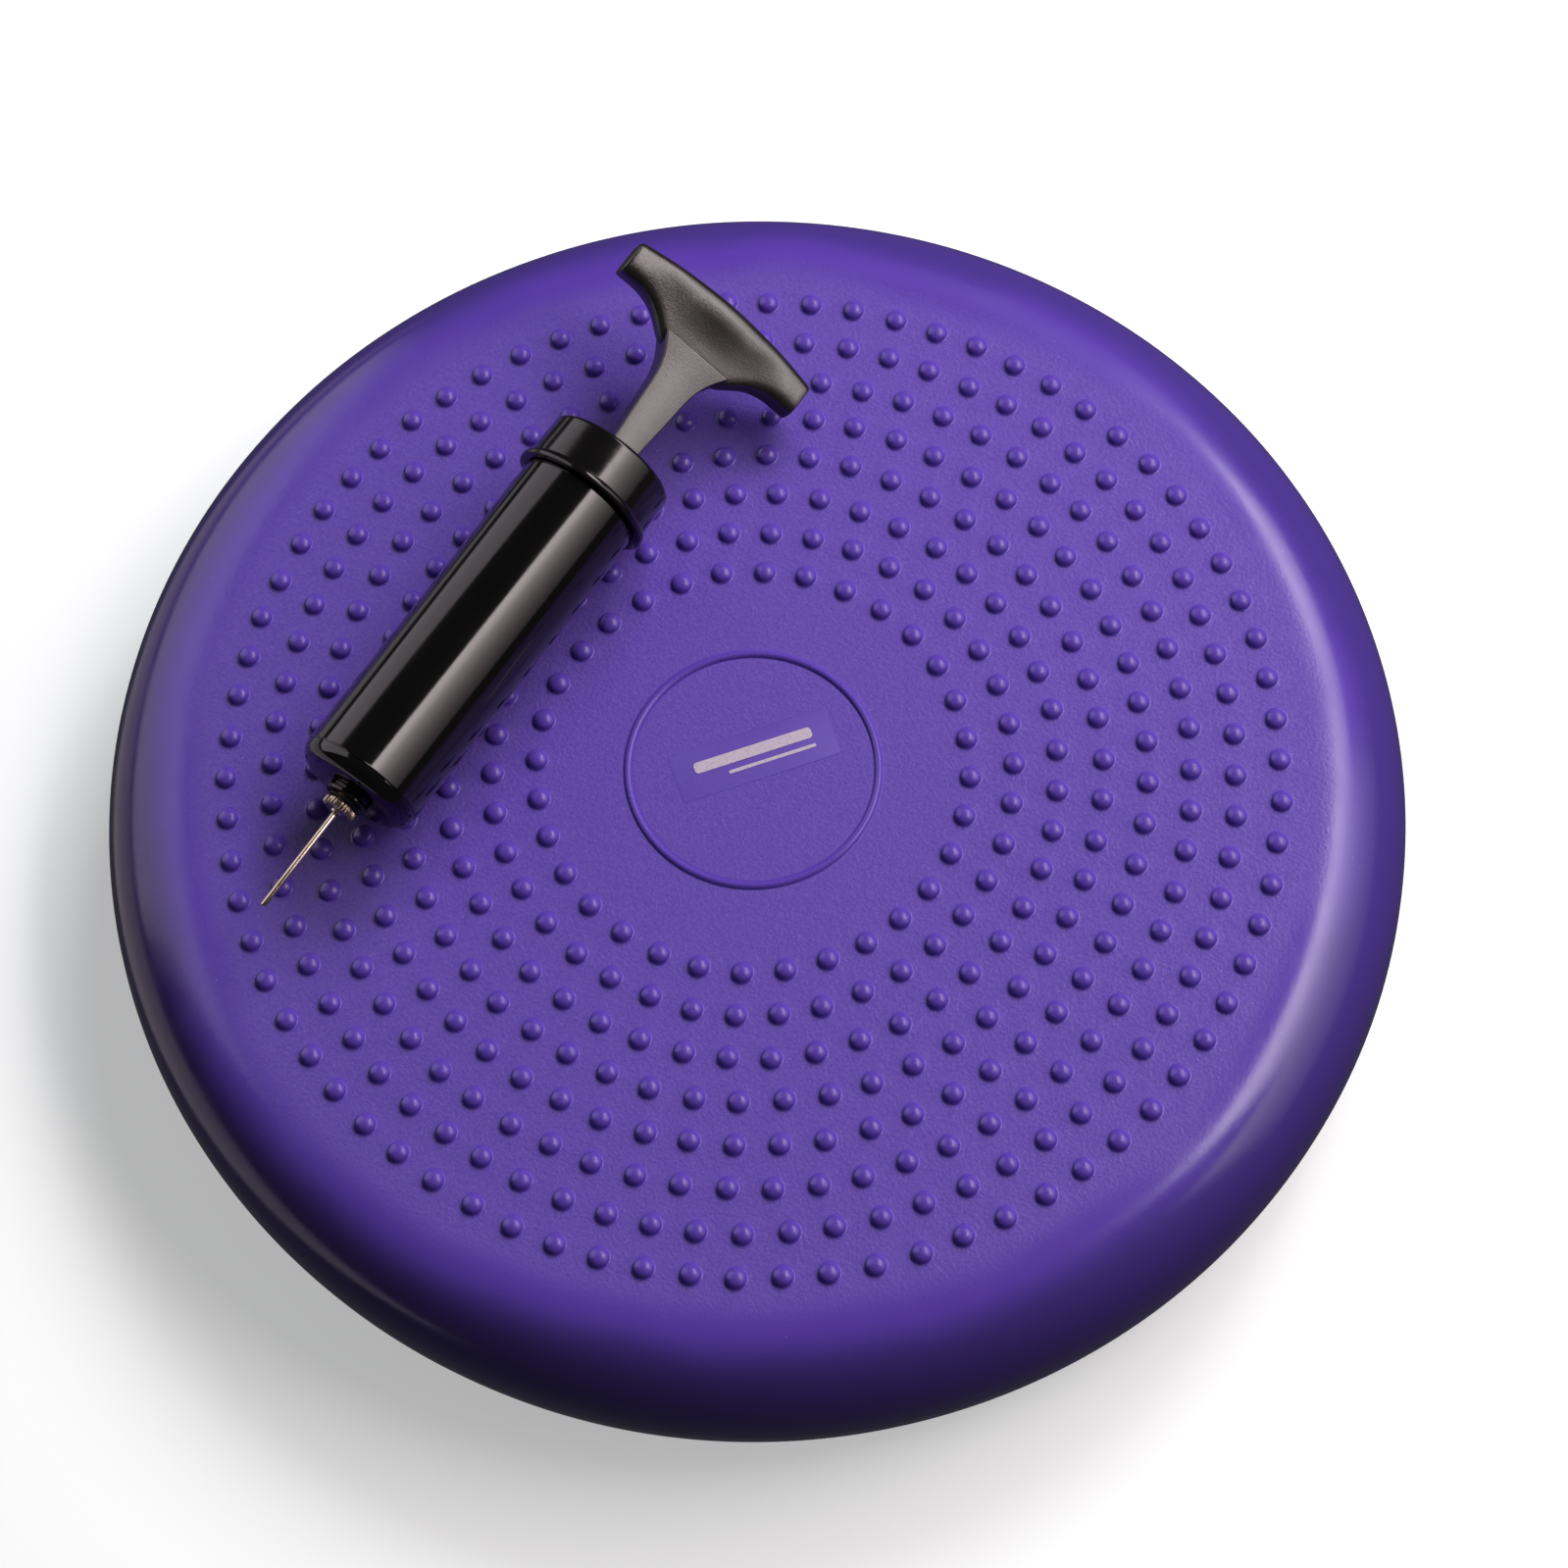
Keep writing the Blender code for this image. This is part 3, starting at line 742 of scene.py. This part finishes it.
def make_needle():
    # knurled head with a threaded spigot
    steps, teeth = 224, 28
    prof = [(0.95, -94.6), (2.75, -94.6), (3.0, -94.9)]
    y = -95.1
    while y > -98.5:                                      # thread seen as fine grooves
        prof += [(3.0, y), (2.72, y - 0.2), (3.0, y - 0.4)]
        y -= 0.4
    prof += [(3.0, -98.9), (3.9, -98.9), (4.30, -99.15), (4.35, -99.3), (4.35, -100.75), (4.25, -100.95), (3.55, -101.3),
             (1.5, -101.3), (1.35, -101.75), (1.1, -101.9), (0.95, -101.9)]
    verts, faces = lathe(prof, steps, closed=True)
    out = []
    for x, yy, z in verts:
        r = math.hypot(x, z)
        if 4.2 < r and -101.0 < yy < -99.0:
            phase = (math.atan2(x, z) * teeth / math.tau) % 1.0
            cut = 0.45 * max(0.0, abs(phase - 0.5) * 2 - 0.30) / 0.70
            k = (r - cut) / r
            x, z = x * k, z * k
        out.append((x, yy, z))
    me = mesh_from("needle_head", out, faces)
    tidy(me)
    smooth(me, 28)
    piece("needle_head", me, NICKEL, "needle", ["needle_fitting"], PUMP)
    tube = [(0.45, -95.2), (0.8, -95.2), (0.8, -130.5), (0.70, -130.9), (0.52, -130.9), (0.45, -130.75)]
    v, f = lathe(rounded(tube + [tube[0]], [0, 0.05, 0.15, 0.06, 0.03, 0], 3)[:-1], 40, closed=True)
    me = mesh_from("needle_shaft", v, f)
    tidy(me)
    port = prism(round_rect(0.62, 1.5, 0.3, cy=-127.6), -0.1, 1.6)
    me = boolean(me, port)
    smooth(me, 32)
    piece("needle_shaft", me, TUBE, "needle", ["needle_tube"],
          PUMP @ Matrix.Rotation(math.radians(150), 4, "Y"))
    turned("needle_washer", rounded([(3.3, -98.0), (4.4, -98.0), (4.4, -98.6), (3.3, -98.6), (3.3, -98.0)],
                                    [0, 0.2, 0.2, 0.1], 3)[:-1], 48, RUBBER, "gasket", ["needle_gasket"],
           closed=True)


make_cushion()
make_label()
make_pump()
make_handle()
make_needle()
for node, mat in (("nozzle_insert", BRASS), ("check_valve_flap", RUBBER), ("piston_back_disc", NATURAL),
                  ("piston_cup", CUP), ("piston_front_washer", WASHER), ("piston_screw", ZINC)):
    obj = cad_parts[node]
    obj.data.materials.clear()
    obj.data.materials.append(mat)
    smooth(obj.data, 35)


# ------------------------------------------------------------------ stage, light and camera
def make_stage():
    bm = bmesh.new()
    bmesh.ops.create_grid(bm, x_segments=8, y_segments=8, size=14.0)
    me = bpy.data.meshes.new("floor")
    bm.to_mesh(me)
    bm.free()
    floor = link(bpy.data.objects.new("floor", me))
    m = Nodes("pale_floor")
    m.wire(m.mix(m.remap(m.noise(3, 2), 0.3, 0.7, 0.0, 1.0), (0.76, 0.82, 0.815), (0.79, 0.85, 0.845)),
           m.bsdf.inputs["Base Color"])
    m.set(Roughness=0.9, Specular_IOR_Level=0.1, Emission_Color=(1.0, 1.0, 1.0, 1.0), Emission_Strength=0.42)
    me.materials.append(m.mat)
    floor.visible_diffuse = floor.visible_glossy = False     # the sweep is pale, but throws no light back up
    world = bpy.data.worlds.new("studio")
    bpy.context.scene.world = world
    world.use_nodes = True
    world.node_tree.nodes["Background"].inputs["Color"].default_value = (0.95, 0.96, 1.0, 1.0)
    world.node_tree.nodes["Background"].inputs["Strength"].default_value = 0.060


TURN = math.radians(37.5)                                 # the viewing direction's azimuth


def seen(x, y, z):
    """From the viewer's right, away and up to the row frame."""
    c, s = math.cos(TURN), math.sin(TURN)
    return Vector((c * x - s * y, s * x + c * y, z))


def softbox(name, centre, out, along, width, length, radiance, colour, falloff=None):
    """A flat panel at centre whose back faces out, its long side along. All in the viewer's right, away and up.
    falloff lists (place from 0 to 1 across the width, share of the radiance)."""
    out, along = seen(*out).normalized(), seen(*along)
    along = (along - out * along.dot(out)).normalized()
    side = along.cross(out)
    data = bpy.data.lights.new(name, "AREA")
    data.shape = "RECTANGLE"
    data.size, data.size_y = width, length
    data.color = colour
    data.energy = radiance * width * length * math.pi
    obj = link(bpy.data.objects.new(name, data))
    m = Matrix.Identity(4)
    for i, v in enumerate((side, along, out)):
        m[0][i], m[1][i], m[2][i] = v
    m.translation = seen(*centre)
    obj.matrix_world = m
    obj.visible_camera = False
    if falloff:
        data.use_nodes = True
        tree = data.node_tree
        geo = tree.nodes.new("ShaderNodeNewGeometry")
        sep = tree.nodes.new("ShaderNodeSeparateXYZ")
        ramp = tree.nodes.new("ShaderNodeValToRGB")
        while len(ramp.color_ramp.elements) < len(falloff):
            ramp.color_ramp.elements.new(0.5)
        for e, (x, v) in zip(ramp.color_ramp.elements, falloff):
            e.position = x
            e.color = (v, v, v, 1)
        tree.links.new(geo.outputs["Parametric"], sep.inputs[0])
        tree.links.new(sep.outputs[0], ramp.inputs[0])
        tree.links.new(ramp.outputs["Color"], tree.nodes["Emission"].inputs["Strength"])
    return obj


def arc_panel(name, lo, hi, front, back, distance, radiance, colour, falloff=None):
    """A panel on the right, lo to hi degrees round the viewing direction from overhead, front to back metres deep."""
    mid, half = math.radians((lo + hi) / 2), math.radians((hi - lo) / 2)
    out = (math.sin(mid), 0, math.cos(mid))
    softbox(name, (out[0] * distance, (front + back) / 2, out[2] * distance + 0.06), out, (0, 1, 0),
            2 * distance * math.tan(half), back - front, radiance, colour, falloff)


def make_lights():
    warm, cool = (1.0, 0.87, 0.88), (1.0, 0.90, 0.97)
    arc_panel("key", 26.5, 47, -0.20, 1.10, 1.40, 9.3, warm,
              [(0.0, 0.80), (0.15, 1.0), (0.40, 0.80), (0.70, 0.48), (1.0, 0.32)])
    arc_panel("key_skirt", 47, 80, -0.62, 0.50, 1.40, 3.1, warm, [(0.0, 1.0), (0.3, 0.55), (0.65, 0.28), (1.0, 0.12)])
    # a panel standing on the left, its edge away from the viewer upright
    c, s = math.cos(math.radians(147)), math.sin(math.radians(147))
    left = softbox("left_panel", (c * 1.25 + s * 0.08, s * 1.25 - c * 0.08, 1.25), (c, s, 0.0), (0, 0, 1), 1.41, 2.30,
                   1.40, cool)
    left.visible_diffuse = False
    # soft light from beyond the object, which shapes it without showing in the gloss
    back = softbox("back_fill", (0.52, 1.08, 1.15), (0.31, 0.65, 0.69), (0.9, -0.43, 0), 0.60, 0.70, 12.0,
                   (1.0, 0.96, 1.0))
    back.visible_glossy = False
    # a white card lying on the left
    softbox("left_card", (-0.62, 0.12, -0.02), (0, 0, -1), (0, 1, 0), 0.80, 0.9, 0.52, cool)


def make_camera():
    elevation, roll, distance = math.radians(67.431), math.radians(-1.460), 1.0989
    place = Vector((0, -distance * math.cos(elevation), distance * math.sin(elevation)))
    target = Vector((0.00750, -0.00455, 0))
    ahead = (target - place).normalized()
    right = ahead.cross(Vector((0, 0, 1))).normalized()
    up = right.cross(ahead)
    c, s = math.cos(roll), math.sin(roll)
    right, up = c * right + s * up, -s * right + c * up
    cols = [seen(*v) for v in (right, up, -ahead)]
    data = bpy.data.cameras.new("camera")
    data.sensor_width = 36.0
    data.lens = 36.0 * 4478.4 / 1599.0
    data.clip_start, data.clip_end = 0.01, 20.0
    cam = link(bpy.data.objects.new("camera", data))
    m = Matrix.Identity(4)
    for i, v in enumerate(cols):
        m[0][i], m[1][i], m[2][i] = v
    m.translation = seen(*place) + Vector((0, 0, TOP_Z * MM))
    cam.matrix_world = m
    bpy.context.scene.camera = cam


make_stage()
make_lights()
make_camera()
bpy.context.scene.view_settings.view_transform = "Standard"
